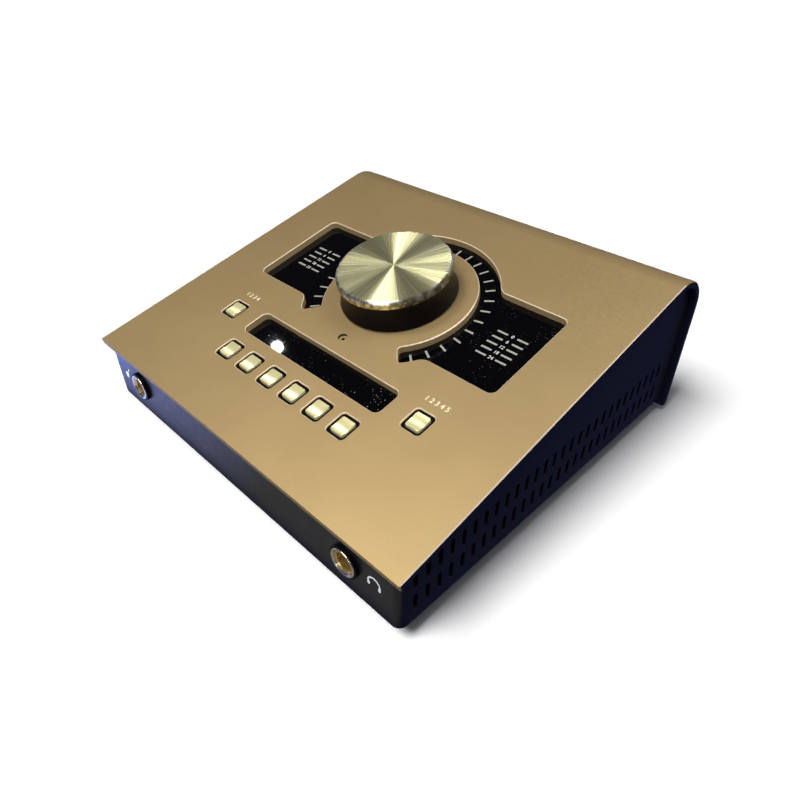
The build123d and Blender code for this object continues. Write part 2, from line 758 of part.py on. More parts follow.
# The rocker has a shallow V across its outer face and is stored tilted to its off side.
rocker_plane = Plane(origin=(switch_place[0], rear_panel_outer - pivot_inset, switch_place[1]),
                     x_dir=(-1, 0, 0), z_dir=(0, 0, 1)).rotated((0, 0, rocker_tilt))
with BuildPart() as power_rocker:
    with BuildSketch(rocker_plane.offset(-rocker_height / 2)):
        with BuildLine():
            half = rocker_length / 2 - 0.35
            rise = half * math.tan(math.radians(rocker_tilt))
            Polyline((-half, -3.4 - rise), (0, -3.9), (half, -3.4 - rise), (half, 1.2), (3, 4.6), (-3, 4.6),
                     (-half, 1.2), close=True)
        make_face()
    extrude(amount=rocker_height)
    chamfer(power_rocker.edges().group_by(Axis.Y)[-1], 0.3)
    with BuildSketch(rocker_pivot):
        Circle(rocker_stub_radius)
    extrude(amount=rocker_height / 2 + 1.0, both=True)
save(power_rocker, "power_rocker")
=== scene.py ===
import json
import math

import bmesh
import bpy
from mathutils import Matrix, Vector


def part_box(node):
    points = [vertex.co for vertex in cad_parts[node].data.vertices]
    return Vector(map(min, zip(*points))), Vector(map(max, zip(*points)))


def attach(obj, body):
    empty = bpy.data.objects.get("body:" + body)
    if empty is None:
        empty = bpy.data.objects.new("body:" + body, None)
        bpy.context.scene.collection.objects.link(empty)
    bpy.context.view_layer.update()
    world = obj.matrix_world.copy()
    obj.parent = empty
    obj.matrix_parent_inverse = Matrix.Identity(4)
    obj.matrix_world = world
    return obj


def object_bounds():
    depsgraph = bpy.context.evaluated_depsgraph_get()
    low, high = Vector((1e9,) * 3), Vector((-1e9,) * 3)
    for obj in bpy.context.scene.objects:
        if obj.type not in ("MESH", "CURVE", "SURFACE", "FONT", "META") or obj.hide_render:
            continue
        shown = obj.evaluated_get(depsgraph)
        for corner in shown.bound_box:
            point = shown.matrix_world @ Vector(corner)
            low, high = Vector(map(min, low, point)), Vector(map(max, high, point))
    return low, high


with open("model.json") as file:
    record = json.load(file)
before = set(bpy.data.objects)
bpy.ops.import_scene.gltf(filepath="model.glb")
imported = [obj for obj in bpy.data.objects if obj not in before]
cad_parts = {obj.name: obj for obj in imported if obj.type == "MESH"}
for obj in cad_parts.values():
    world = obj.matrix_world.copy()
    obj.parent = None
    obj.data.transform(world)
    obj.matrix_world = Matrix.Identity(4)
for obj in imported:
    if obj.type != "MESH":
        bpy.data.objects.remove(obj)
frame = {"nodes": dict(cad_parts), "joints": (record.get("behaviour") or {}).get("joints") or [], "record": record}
cad_low, cad_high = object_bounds()
scene = bpy.context.scene
nodes = frame["nodes"]
joints = {joint["name"]: joint for joint in frame["joints"]}
MM = 0.001

# ------------------------------------------------------------------ places taken from the frame
# The panel frame lies on the sloping top: x to the right, y up the slope, z out of the surface,
# with its origin on the knob's axis. Lengths on it are given in millimetres.
RIGHT = Vector((1, 0, 0))
PANEL_NORMAL = Vector(joints["knob_turn"]["axis"]).normalized()
UP_SLOPE = PANEL_NORMAL.cross(RIGHT)
KNOB_PIVOT = Vector(joints["knob_turn"]["pos_m"])
FACE_RADIUS = 19.9 * MM


def frame_matrix(origin, across, up, out):
    """Matrix of a local frame whose lengths are in millimetres."""
    axes = Matrix((across, up, out)).transposed().to_4x4()
    return Matrix.Translation(origin) @ axes @ Matrix.Scale(MM, 4)


ON_PANEL = frame_matrix(KNOB_PIVOT, RIGHT, UP_SLOPE, PANEL_NORMAL)
TO_PANEL = ON_PANEL.inverted()


def panel_box(node):
    """Lowest and highest corner of a CAD node in the panel frame, in millimetres."""
    places = [TO_PANEL @ vertex.co for vertex in nodes[node].data.vertices]
    low = Vector([min(place[i] for place in places) for i in range(3)])
    high = Vector([max(place[i] for place in places) for i in range(3)])
    return low, high


def middle(node):
    """Middle of a CAD node's box."""
    low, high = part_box(node)
    return (low + high) / 2


LENS_TOP = panel_box("meter_lens")[1].z
MICROPHONE = middle("talkback_mic") + PANEL_NORMAL * 4 * MM
FRONT_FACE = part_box("chassis")[0].y
REAR_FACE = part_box("rear_panel")[1].y
BEND_RADIUS = 16 * MM
REAR_BEND = cad_high.y - BEND_RADIUS


# ------------------------------------------------------------------ camera
def make_camera():
    """Camera in front of the right corner, looking down on the top."""
    azimuth = math.radians(44.88)
    elevation = math.radians(37.75)
    roll = math.radians(-0.16)
    level = math.cos(elevation)
    back = Vector((math.sin(azimuth) * level, -math.cos(azimuth) * level, math.sin(elevation)))
    right = (-back).cross(Vector((0, 0, 1))).normalized()
    up = right.cross(-back)
    turned_right = right * math.cos(roll) + up * math.sin(roll)
    turned_up = up * math.cos(roll) - right * math.sin(roll)
    data = bpy.data.cameras.new("camera")
    data.sensor_width = 36
    data.lens = 28.93
    data.clip_start = 0.01
    data.clip_end = 20
    camera = bpy.data.objects.new("camera", data)
    place = Matrix((turned_right, turned_up, back)).transposed().to_4x4()
    place.translation = Vector((0.14757, -0.14283, 0.16147))
    camera.matrix_world = place
    scene.collection.objects.link(camera)
    scene.camera = camera


make_camera()
scene.view_settings.view_transform = "Standard"


# ------------------------------------------------------------------ shader tools
def set_stops(stops, tints):
    """Fills a colour ramp with (position, colour) pairs in rising order."""
    stops[0].position, stops[1].position = tints[0][0], tints[-1][0]
    for position, tint in tints[1:-1]:
        stops.new(position)
    for stop, (position, tint) in zip(stops, tints):
        stop.color = (*tint, 1)


class Finish:
    """One procedural material. Lengths given to its textures are in millimetres."""

    def __init__(self, name, **sockets):
        self.material = bpy.data.materials.new(name)
        self.material.use_nodes = True
        self.tree = self.material.node_tree
        self.surface = self.tree.nodes["Principled BSDF"]
        for socket, value in sockets.items():
            self.surface.inputs[socket.replace("_", " ")].default_value = value
        self.coordinates = self.add("ShaderNodeTexCoord")
        self.place = self.coordinates.outputs["Object"]

    def add(self, kind, **settings):
        """New node with its settings."""
        node = self.tree.nodes.new(kind)
        for setting, value in settings.items():
            setattr(node, setting, value)
        return node

    def put(self, socket, value):
        """Links a socket to another one, or sets its value."""
        if isinstance(value, bpy.types.NodeSocket):
            self.tree.links.new(value, socket)
        else:
            socket.default_value = value

    def math(self, operation, first, second=0.0, third=0.0):
        """Sum, product or test of numbers."""
        node = self.add("ShaderNodeMath", operation=operation)
        for socket, value in zip(node.inputs, (first, second, third)):
            self.put(socket, value)
        return node.outputs[0]

    def vector(self, operation, first, second=(0, 0, 0), out="Vector"):
        """Sum, product or measure of vectors."""
        node = self.add("ShaderNodeVectorMath", operation=operation)
        self.put(node.inputs[0], first)
        self.put(node.inputs[1], second)
        return node.outputs[out]

    def stretched(self, scale):
        """The object's coordinates scaled along each axis, for a grain with a direction."""
        return self.vector("MULTIPLY", self.place, scale)

    def noise(self, size, detail=2.0, roughness=0.5, at=None):
        """Soft noise from 0 to 1 whose features are about size millimetres across."""
        node = self.add("ShaderNodeTexNoise")
        self.put(node.inputs["Vector"], at or self.place)
        node.inputs["Scale"].default_value = 1 / (size * MM)
        node.inputs["Detail"].default_value = detail
        node.inputs["Roughness"].default_value = roughness
        return node.outputs["Fac"]

    def specks(self, spacing, radius):
        """1 inside small scattered dots, 0 elsewhere."""
        node = self.add("ShaderNodeTexVoronoi")
        self.put(node.inputs["Vector"], self.place)
        node.inputs["Scale"].default_value = 1 / (spacing * MM)
        return self.span(node.outputs["Distance"], radius / spacing, 0.5 * radius / spacing, 0, 1)

    def span(self, value, from_low, from_high, to_low, to_high):
        """Maps one range of numbers onto another and stops at its ends."""
        node = self.add("ShaderNodeMapRange")
        self.put(node.inputs["Value"], value)
        for socket, number in zip(node.inputs[1:5], (from_low, from_high, to_low, to_high)):
            socket.default_value = number
        return node.outputs["Result"]

    def mix(self, share, first, second):
        """Blend of two colours."""
        node = self.add("ShaderNodeMix", data_type="RGBA")
        self.put(node.inputs["Factor"], share)
        for socket, value in zip((node.inputs["A"], node.inputs["B"]), (first, second)):
            self.put(socket, (*value, 1) if isinstance(value, tuple) else value)
        return node.outputs["Result"]

    def colour(self, share, first, second):
        """Base colour between two colours."""
        self.put(self.surface.inputs["Base Color"], self.mix(share, first, second))

    def rough(self, value, low, high):
        """Roughness that follows a noise between two values."""
        self.put(self.surface.inputs["Roughness"], self.span(value, 0.3, 0.7, low, high))

    def separate(self, socket=None):
        """The x, y and z of a vector, by default of the place on the object."""
        node = self.add("ShaderNodeSeparateXYZ")
        self.put(node.inputs[0], socket or self.place)
        return node.outputs

    def bump(self, height, depth, strength=1.0):
        """Bump whose full height is depth millimetres."""
        node = self.add("ShaderNodeBump")
        node.inputs["Strength"].default_value = strength
        node.inputs["Distance"].default_value = depth * MM
        self.put(node.inputs["Height"], height)
        self.put(self.surface.inputs["Normal"], node.outputs["Normal"])


# ------------------------------------------------------------------ materials
def anodised_shell():
    """Bead-blasted champagne anodising outside, with painted shade in dark blue on the cut sides and the inner
    face, and painted highlights on the rims.
    """
    made = Finish("anodised_shell")
    cloud = made.noise(26, 3)
    base = made.mix(made.span(cloud, 0.3, 0.7, 0, 1), (0.56, 0.405, 0.19), (0.60, 0.435, 0.205))
    normal = made.coordinates.outputs["Normal"]
    facing = made.vector("DOT_PRODUCT", normal, PANEL_NORMAL, "Value")
    backwards = made.vector("DOT_PRODUCT", normal, (0, 1, 0), "Value")
    upwards = made.vector("DOT_PRODUCT", normal, (0, 0.72, 0.69), "Value")
    across, depth, height = made.separate()
    behind_bend = made.math("GREATER_THAN", depth, REAR_BEND)
    below_bend = made.math("LESS_THAN", height, cad_high.z - BEND_RADIUS)
    # painted shade in dark blue: the cut sides, the underside, the inside of the bend and all of the leg but its
    # back, faces that lie in shade and reflect the dark surroundings
    cut_side = made.math("GREATER_THAN", made.math("ABSOLUTE", across), cad_high.x - 0.02 * MM)
    underside = made.math("LESS_THAN", facing, -0.9)
    inner_bend = made.math("MULTIPLY", behind_bend, made.math("LESS_THAN", upwards, 0.05))
    inner_leg = made.math("MULTIPLY", made.math("LESS_THAN", backwards, 0.5),
                          made.math("MULTIPLY", behind_bend, below_bend))
    painted_shade = made.math("MAXIMUM", made.math("MAXIMUM", cut_side, underside),
                        made.math("MAXIMUM", inner_bend, inner_leg))
    # rounded rims of the openings and the side edges: painted highlight, a paler colour with less metal for the
    # light they catch
    off_rim = made.math("ABSOLUTE", made.math("SUBTRACT", facing, 0.66))
    rim_highlight = made.math("MULTIPLY", made.span(off_rim, 0.27, 0.32, 1, 0),
                    made.math("SUBTRACT", 1.0, made.math("MAXIMUM", behind_bend, painted_shade)))
    bright = made.mix(rim_highlight, base, (0.86, 0.70, 0.52))
    # painted shade: the upright wall of the microphone dimple is near black, for the shade in the recess
    from_microphone = made.vector("DISTANCE", made.place, MICROPHONE, "Value")
    in_dimple = made.math("LESS_THAN", from_microphone, 2.4 * MM)
    upright = made.math("LESS_THAN", made.math("ABSOLUTE", facing), 0.5)
    dimple_shade = made.math("MULTIPLY", upright, in_dimple)
    bright = made.mix(dimple_shade, bright, (0.03, 0.02, 0.012))
    made.colour(painted_shade, bright, (0.008, 0.009, 0.028))
    grain = made.span(made.noise(1.1, 2), 0.3, 0.7, 0.52, 0.58)
    made.put(made.surface.inputs["Roughness"], grain)
    wall = made.span(made.math("ABSOLUTE", facing), 0.3, 0.5, 0.5, 0)
    metal = made.math("SUBTRACT", 0.8, made.math("ADD", wall, made.math("MULTIPLY", rim_highlight, 0.6)))
    bare = made.math("SUBTRACT", 1.0, painted_shade)
    made.put(made.surface.inputs["Metallic"], made.math("MULTIPLY", metal, bare))
    made.bump(made.noise(0.22, 2, 0.6), 0.004, 0.4)
    return made.material


def powder_coat(name, colour, bright, low, high):
    """Fine-textured satin coat on folded steel."""
    made = Finish(name, Specular_IOR_Level=0.5)
    made.colour(made.noise(9, 4), colour, bright)
    made.rough(made.noise(2.4, 3), low, high)
    made.bump(made.noise(0.3, 2, 0.5), 0.006, 0.4)
    return made.material


def moulded(name, colour, bright, low, high, grain=0.5, depth=0.012, metallic=0.0, gloss=0.5):
    """Moulded plastic or plain metal with a faint grain and uneven sheen."""
    made = Finish(name, Metallic=metallic, Specular_IOR_Level=gloss)
    made.colour(made.noise(5, 3), colour, bright)
    made.rough(made.noise(1.6, 3), low, high)
    made.bump(made.noise(grain, 3), depth, 0.6)
    return made.material


def rubber():
    """Matt rubber with a coarse skin."""
    made = Finish("feet_rubber", Specular_IOR_Level=0.3)
    made.colour(made.noise(3, 4), (0.012, 0.012, 0.012), (0.024, 0.023, 0.022))
    made.rough(made.noise(1.2, 3), 0.72, 0.9)
    made.bump(made.noise(0.4, 4, 0.6), 0.05, 0.7)
    return made.material


def smoked_lens():
    """Glossy black acrylic with faint wipe marks and scattered dust, thicker on the display."""
    made = Finish("smoked_lens", IOR=1.30)
    across, depth = made.separate()[:2]
    towards_right = made.span(across, -0.01, 0.036, 0.25, 1.0)
    on_display = made.span(depth, -0.026, -0.018, 1.0, 0.25)
    patches = made.span(made.noise(9, 3), 0.45, 0.60, 0, 1)
    fine = made.math("MULTIPLY", made.specks(1.1, 0.2), patches)
    coarse = made.math("MULTIPLY", made.specks(4.6, 0.24), 0.9)
    amount = made.math("MULTIPLY", towards_right, on_display)
    dust = made.math("MULTIPLY", made.math("MAXIMUM", fine, coarse), amount)
    made.colour(made.math("MULTIPLY", dust, 0.75), (0.0012, 0.0012, 0.0018), (0.42, 0.42, 0.36))
    wipes = made.noise(5, 3, at=made.stretched((0.35, 1.6, 1)))
    made.put(made.surface.inputs["Roughness"], made.math("ADD", made.span(wipes, 0.3, 0.7, 0.012, 0.030),
                                                         made.math("MULTIPLY", dust, 0.5)))
    return made.material


def spun_metal(name, colour, bright, low, high):
    """Metal turned on a lathe: grooves round the knob's axis, and narrow spokes that shine unevenly, with painted
    sheen, streaks, tint and edge glints in the colour.
    """
    made = Finish(name, Metallic=1.0, Anisotropic=0.96)
    from_axis = made.vector("SUBTRACT", made.place, KNOB_PIVOT)
    height = made.vector("DOT_PRODUCT", from_axis, PANEL_NORMAL, "Value")
    along = made.add("ShaderNodeVectorMath", operation="SCALE")
    along.inputs[0].default_value = PANEL_NORMAL
    made.put(along.inputs["Scale"], height)
    spoke = made.vector("SUBTRACT", from_axis, along.outputs["Vector"])
    direction = made.vector("NORMALIZE", spoke)
    made.put(made.surface.inputs["Tangent"], direction)
    radius = made.vector("LENGTH", spoke, out="Value")
    ring = made.add("ShaderNodeCombineXYZ")
    made.put(ring.inputs["X"], radius)
    grooves = made.noise(0.16, 2, 0.7, at=ring.outputs["Vector"])
    broad = made.noise(160, 2, 0.5, at=direction)
    spokes = made.span(made.noise(60, 3, 0.5, at=direction), 0.36, 0.64, 0, 1)
    # painted highlight: thin pale streaks along a few spokes
    streak_noise = made.noise(34, 2, 0.5, at=made.vector("ADD", direction, (9, 2, 4)))
    painted_streaks = made.span(streak_noise, 0.60, 0.66, 0, 1)
    # sheen: the groove rings' own tone, plus painted sheen that changes round the axis in broad patches and narrow
    # spokes
    sheen = made.math("ADD", made.math("MULTIPLY", grooves, 0.3),
                      made.math("ADD", made.math("MULTIPLY", broad, 0.3), made.math("MULTIPLY", spokes, 0.4)))
    # painted rainbow tint on a few spokes, for the light the grooves split a little
    rainbow = made.add("ShaderNodeValToRGB")
    made.put(rainbow.inputs["Fac"], made.noise(46, 3, 0.6, at=made.vector("ADD", direction, (3, 5, 7))))
    tints = ((0.40, (1.0, 1.0, 1.0)), (0.47, (0.72, 1.0, 0.66)), (0.53, (1.0, 1.0, 1.0)),
             (0.60, (1.0, 0.74, 0.70)), (0.66, (0.80, 0.80, 1.0)))
    set_stops(rainbow.color_ramp.elements, tints)
    turned = made.mix(made.span(sheen, 0.25, 0.75, 0, 1), colour, bright)
    streaked = made.mix(painted_streaks, turned, (1.0, 0.95, 0.68))
    # painted glints on the turned edge: pale beads and dark gaps in the colour, for the light the edge catches
    edge_glints = made.span(made.noise(2.2, 2, 0.4), 0.40, 0.60, 0, 1)
    at_edge = made.span(radius, FACE_RADIUS, FACE_RADIUS + 0.6 * MM, 0, 1)
    shade = made.mix(at_edge, streaked, made.mix(edge_glints, (0.34, 0.32, 0.20), (1.0, 0.98, 0.84)))
    tinted = made.add("ShaderNodeMix", data_type="RGBA", blend_type="MULTIPLY")
    made.put(tinted.inputs["Factor"], made.math("MULTIPLY", spokes, 0.5))
    made.put(tinted.inputs["A"], shade)
    made.put(tinted.inputs["B"], rainbow.outputs["Color"])
    made.put(made.surface.inputs["Base Color"], tinted.outputs["Result"])
    made.put(made.surface.inputs["Roughness"], made.span(sheen, 0.25, 0.75, high, low))
    made.bump(grooves, 0.006, 0.4)
    return made.material


def button_satin():
    """Pale gold satin caps that glow faintly in their own colour: painted light that brightens them."""
    made = Finish("button_cap", Metallic=0.6, Emission_Strength=0.16)
    shade = made.mix(made.noise(4, 3), (0.80, 0.74, 0.37), (0.88, 0.82, 0.45))
    # painted light: the cap glows in its own colour
    made.put(made.surface.inputs["Base Color"], shade)
    made.put(made.surface.inputs["Emission Color"], shade)
    made.rough(made.noise(1.6, 2), 0.21, 0.27)
    made.bump(made.noise(3, 2), 0.01, 0.3)
    return made.material


def lit_print(name, colour, bright, glow):
    """Pale print and light bars behind the lens, glowing a little in their own colour, which is painted light."""
    made = Finish(name, Roughness=0.5, Emission_Strength=glow)
    shade = made.mix(made.noise(0.7, 2), colour, bright)
    # painted light: the print glows in its own colour
    made.put(made.surface.inputs["Base Color"], shade)
    made.put(made.surface.inputs["Emission Color"], shade)
    return made.material


def circuit_board():
    """Green board with a mesh of paler tracks."""
    made = Finish("circuit_board", Roughness=0.45)
    tracks = made.add("ShaderNodeTexVoronoi", feature="DISTANCE_TO_EDGE")
    made.put(tracks.inputs["Vector"], made.place)
    tracks.inputs["Scale"].default_value = 180
    track = made.span(tracks.outputs["Distance"], 0.03, 0.06, 1, 0)
    made.colour(track, (0.006, 0.05, 0.022), (0.03, 0.16, 0.06))
    made.bump(tracks.outputs["Distance"], 0.03, 0.3)
    return made.material


FINISHES = {
    "anodised_shell": anodised_shell(),
    "black_case": powder_coat(
        "black_case", (0.0085, 0.0085, 0.013), (0.013, 0.013, 0.019), 0.27, 0.36),
    "feet_rubber": rubber(),
    "black_screws": moulded(
        "black_screws", (0.016, 0.016, 0.018), (0.03, 0.03, 0.033), 0.25, 0.4, metallic=0.8),
    "smoked_lens": smoked_lens(),
    "diffuser": moulded("diffuser", (0.60, 0.60, 0.58), (0.70, 0.70, 0.68), 0.5, 0.6),
    "display_black": moulded("display_black", (0.004, 0.004, 0.005), (0.009, 0.009, 0.011), 0.2, 0.3),
    "lamp": moulded("lamp", (0.62, 0.62, 0.5), (0.75, 0.75, 0.62), 0.3, 0.4),
    "button_cap": button_satin(),
    "black_plastic": moulded(
        "black_plastic", (0.0025, 0.002, 0.002), (0.0045, 0.0035, 0.0035), 0.32, 0.45, gloss=0.12),
    "bright_ring": moulded(
        "bright_ring", (0.72, 0.70, 0.62), (0.85, 0.83, 0.74), 0.16, 0.26, 0.8, 0.004, 0.95),
    "nickel_nut": moulded(
        "nickel_nut", (0.42, 0.40, 0.37), (0.55, 0.53, 0.50), 0.22, 0.34, 0.8, 0.006, 1.0),
    "contact_brass": moulded(
        "contact_brass", (0.82, 0.58, 0.16), (0.92, 0.70, 0.26), 0.22, 0.36, 0.8, 0.008, 0.9),
    "knob_face": spun_metal("knob_face", (0.50, 0.465, 0.25), (0.68, 0.64, 0.37), 0.24, 0.39),
    "circuit_board": circuit_board(),
    "component": moulded("component", (0.014, 0.014, 0.015), (0.03, 0.03, 0.032), 0.4, 0.55),
    "tab_metal": moulded(
        "tab_metal", (0.45, 0.44, 0.43), (0.6, 0.59, 0.57), 0.25, 0.38, 0.8, 0.008, 1.0),
    "shutter_plastic": moulded("shutter_plastic", (0.03, 0.03, 0.032), (0.05, 0.05, 0.052), 0.35, 0.5),
    "rocker_plastic": moulded("rocker_plastic", (0.014, 0.014, 0.015), (0.026, 0.026, 0.028), 0.3, 0.45),
}
PRINT = lit_print("pale_print", (0.50, 0.48, 0.43), (0.66, 0.64, 0.58), 0.12)
BAR_PRINT = lit_print("bar_print", (0.26, 0.26, 0.22), (0.40, 0.39, 0.33), 0.05)
CREAM_PRINT = lit_print("cream_print", (0.88, 0.74, 0.50), (0.95, 0.82, 0.58), 0.12)
FRONT_PRINT = lit_print("front_print", (0.82, 0.85, 0.90), (0.92, 0.94, 0.97), 0.35)


def dress_frame():
    """Gives every CAD node the finish of its material slot in the record."""
    for part in frame["record"]["subparts"]:
        materials = nodes[part["node"]].data.materials
        materials.clear()
        materials.append(FINISHES[part["material_slot"]])


dress_frame()


# ------------------------------------------------------------------ mesh tools
def add_piece(name, bm, finish, body, place):
    """Turns bm, in the millimetres of the frame place, into a piece that rides on body."""
    bmesh.ops.transform(bm, matrix=place, verts=bm.verts)
    bmesh.ops.recalc_face_normals(bm, faces=bm.faces)
    mesh = bpy.data.meshes.new(name)
    bm.to_mesh(mesh)
    bm.free()
    mesh.materials.append(finish)
    piece = bpy.data.objects.new(name, mesh)
    scene.collection.objects.link(piece)
    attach(piece, body)
    return piece


def add_plate(bm, outline, low, high):
    """Closed flat plate over an outline, between two heights."""
    bottom = [bm.verts.new((x, y, low)) for x, y in outline]
    top = [bm.verts.new((x, y, high)) for x, y in outline]
    bm.faces.new(bottom[::-1])
    bm.faces.new(top)
    for i in range(len(outline)):
        j = (i + 1) % len(outline)
        bm.faces.new((bottom[i], bottom[j], top[j], top[i]))


def bar_outline(centre, length, width, angle, corner=0.3):
    """Rectangle with rounded corners, its long side turned by angle from x."""
    corner = min(corner, width / 2 * 0.98)
    outline = []
    for quarter in range(4):
        sign_x = 1 if quarter in (0, 3) else -1
        sign_y = 1 if quarter in (0, 1) else -1
        for step in range(4):
            turn = math.radians(90 * quarter + 30 * step)
            x = sign_x * (length / 2 - corner) + corner * math.cos(turn)
            y = sign_y * (width / 2 - corner) + corner * math.sin(turn)
            outline.append((centre[0] + x * math.cos(angle) - y * math.sin(angle),
                            centre[1] + x * math.sin(angle) + y * math.cos(angle)))
    return outline


def arc_outline(centre, radius, width, start, end, steps=24):
    """Band of an arc with square ends, angles in degrees."""
    angles = [math.radians(start + (end - start) * i / steps) for i in range(steps + 1)]

    def arc(at_radius, turns):
        return [(centre[0] + at_radius * math.cos(a), centre[1] + at_radius * math.sin(a)) for a in turns]

    return arc(radius + width / 2, angles) + arc(radius - width / 2, angles[::-1])


def lettering(name, marks, size, weight, height, thickness, finish, body, place):
    """Numerals in one closed mesh. marks holds (text, x, y) in the frame place."""
    bm = bmesh.new()
    for text, x, y in marks:
        curve = bpy.data.curves.new("numeral", "FONT")
        curve.body = text
        curve.size = size
        curve.align_x = "CENTER"
        curve.align_y = "CENTER"
        curve.extrude = thickness / 2
        curve.offset = weight
        curve.resolution_u = 3
        shape = bpy.data.objects.new("numeral", curve)
        mesh = bpy.data.meshes.new_from_object(shape)
        mesh.transform(Matrix.Translation((x, y, height + thickness / 2)))
        bm.from_mesh(mesh)
        bpy.data.objects.remove(shape)
        bpy.data.curves.remove(curve)
        bpy.data.meshes.remove(mesh)
    return add_piece(name, bm, finish, body, place)


# ------------------------------------------------------------------ meter marks on the lens
# millimetres and degrees in the panel frame
PRINT_THICKNESS = 0.05
MARK_WIDTH = 0.75
MARK_CORNER = 0.12
TICK_RADIUS = 32.7
TICK_LENGTH = 3.6
TICKS_EACH_SIDE = 13
TICK_STEP = 10
BAR_LENGTH = 4.3
BAR_COLUMN = 42.5
BAR_SPACING = 8.15
BAR_PITCH = 2.93


def make_meter_marks():
    """Ticks round the knob, and two columns of level bars with numerals in each wing of the meter lens."""
    bm = bmesh.new()
    for i in range(2 * TICKS_EACH_SIDE + 1):
        angle = math.radians(TICK_STEP * (i - TICKS_EACH_SIDE))
        centre = (TICK_RADIUS * math.sin(angle), TICK_RADIUS * math.cos(angle))
        outline = bar_outline(centre, TICK_LENGTH, MARK_WIDTH, math.pi / 2 - angle, MARK_CORNER)
        add_plate(bm, outline, LENS_TOP, LENS_TOP + PRINT_THICKNESS)
    add_piece("dial_ticks", bm, BAR_PRINT, "case", ON_PANEL)
    bm = bmesh.new()
    for side in (-1, 1):
        for column in (0, 1):
            for row in range(-2, 3):
                centre = (side * (BAR_COLUMN + BAR_SPACING * column), BAR_PITCH * row)
                outline = bar_outline(centre, BAR_LENGTH, MARK_WIDTH, 0, MARK_CORNER)
                add_plate(bm, outline, LENS_TOP, LENS_TOP + PRINT_THICKNESS)
    add_piece("level_bars", bm, BAR_PRINT, "case", ON_PANEL)
    marks = []
    for side in (-1, 1):
        for row, text in enumerate(("24", "18", "12", "6", "0")):
            marks.append((text, side * (BAR_COLUMN + BAR_SPACING / 2), BAR_PITCH * (row - 2)))
    lettering("level_numerals", marks, 2.0, 0.02, LENS_TOP, PRINT_THICKNESS,
              PRINT, "case", ON_PANEL)


make_meter_marks()


# ------------------------------------------------------------------ small print on the top and the front
def make_button_numerals():
    """A short generic row of numerals above each of the two outer buttons."""
    for name, text in (("left_button", "1 2 3 4"), ("right_button", "1 2 3 4 5")):
        low, high = panel_box(name)
        marks = [(text, (low.x + high.x) / 2, high.y + 4.9)]
        lettering(name + "_numerals", marks, 2.7, 0.02, 0.0, 0.04,
                  CREAM_PRINT, "case", ON_PANEL)


def front_frame(x, z):
    """Frame on the front face, x to the right and y up."""
    return frame_matrix(Vector((x, FRONT_FACE, z)), RIGHT, Vector((0, 0, 1)), Vector((0, -1, 0)))


def make_headphone_sign():
    """A headband with two ear cups, to the right of the headphone socket."""
    socket = middle("headphone_socket_ring")
    bm = bmesh.new()
    add_plate(bm, arc_outline((0, 0), 2.3, 0.5, 0, 180), 0, PRINT_THICKNESS)
    for side in (-1, 1):
        cup = bar_outline((side * 2.1, -0.75), 1.5, 0.95, math.pi / 2, 0.4)
        add_plate(bm, cup, 0, PRINT_THICKNESS)
    place = front_frame(socket.x + 11.2 * MM, socket.z)
    add_piece("headphone_sign", bm, FRONT_PRINT, "case", place)


def make_instrument_sign():
    """A neck, a head and a two-part body, to the left of the instrument socket."""
    socket = middle("instrument_socket_ring")
    bm = bmesh.new()
    tilt = math.radians(50)
    neck = bar_outline((0.9, 1.1), 3.6, 0.38, tilt, 0.18)
    head = bar_outline((2.0, 2.4), 1.0, 0.8, tilt, 0.25)
    upper_body = arc_outline((-0.15, -0.15), 0.46, 0.9, 0, 359, 20)
    lower_body = arc_outline((-0.85, -1.0), 0.66, 1.3, 0, 359, 20)
    for outline in (neck, head, upper_body, lower_body):
        add_plate(bm, outline, 0, PRINT_THICKNESS)
    place = front_frame(socket.x - 11.6 * MM, socket.z)
    add_piece("instrument_sign", bm, FRONT_PRINT, "case", place)


make_button_numerals()
make_headphone_sign()
make_instrument_sign()


# ------------------------------------------------------------------ print on the rear panel
def rear_frame(x, z):
    """Frame on the rear panel, x to the right as seen from behind and y up."""
    return frame_matrix(Vector((x, REAR_FACE, z)), -RIGHT, Vector((0, 0, 1)), Vector((0, 1, 0)))


def make_rear_numerals():
    """One pair of numerals between each column of output jacks, and one numeral above each combo socket."""
    for lower, upper in ((1, 2), (3, 4)):
        centre = (middle("output_jack_%d" % lower) + middle("output_jack_%d" % upper)) / 2
        marks = [("%d-%d" % (lower, upper), 0, 0)]
        lettering("output_jack_%d_numerals" % lower, marks, 2.2, 0.03, 0.0, 0.04,
                  PRINT, "case", rear_frame(centre.x, centre.z))
    for number in (1, 2):
        centre = middle("combo_socket_%d" % number)
        marks = [(str(number), 0, 15.0)]
        lettering("combo_socket_%d_numeral" % number, marks, 2.4, 0.03, 0.0, 0.04,
                  PRINT, "case", rear_frame(centre.x, centre.z))


make_rear_numerals()


# ------------------------------------------------------------------ floor and backdrop
def studio_object(name, bm, material):
    """Turns bm into an object of the studio."""
    mesh = bpy.data.meshes.new(name)
    bm.to_mesh(mesh)
    bm.free()
    mesh.materials.append(material)
    thing = bpy.data.objects.new(name, mesh)
    scene.collection.objects.link(thing)
    return thing


def make_floor():
    """A plain pale floor that throws no light back on the object."""
    made = Finish("floor_paint", Roughness=0.9)
    made.colour(made.noise(180, 3), (0.90, 0.90, 0.90), (0.93, 0.93, 0.93))
    made.bump(made.noise(2, 3), 0.02, 0.2)
    bm = bmesh.new()
    bmesh.ops.create_grid(bm, x_segments=8, y_segments=8, size=3)
    floor = studio_object("floor", bm, made.material)
    floor.visible_glossy = False
    floor.visible_diffuse = False
    return floor


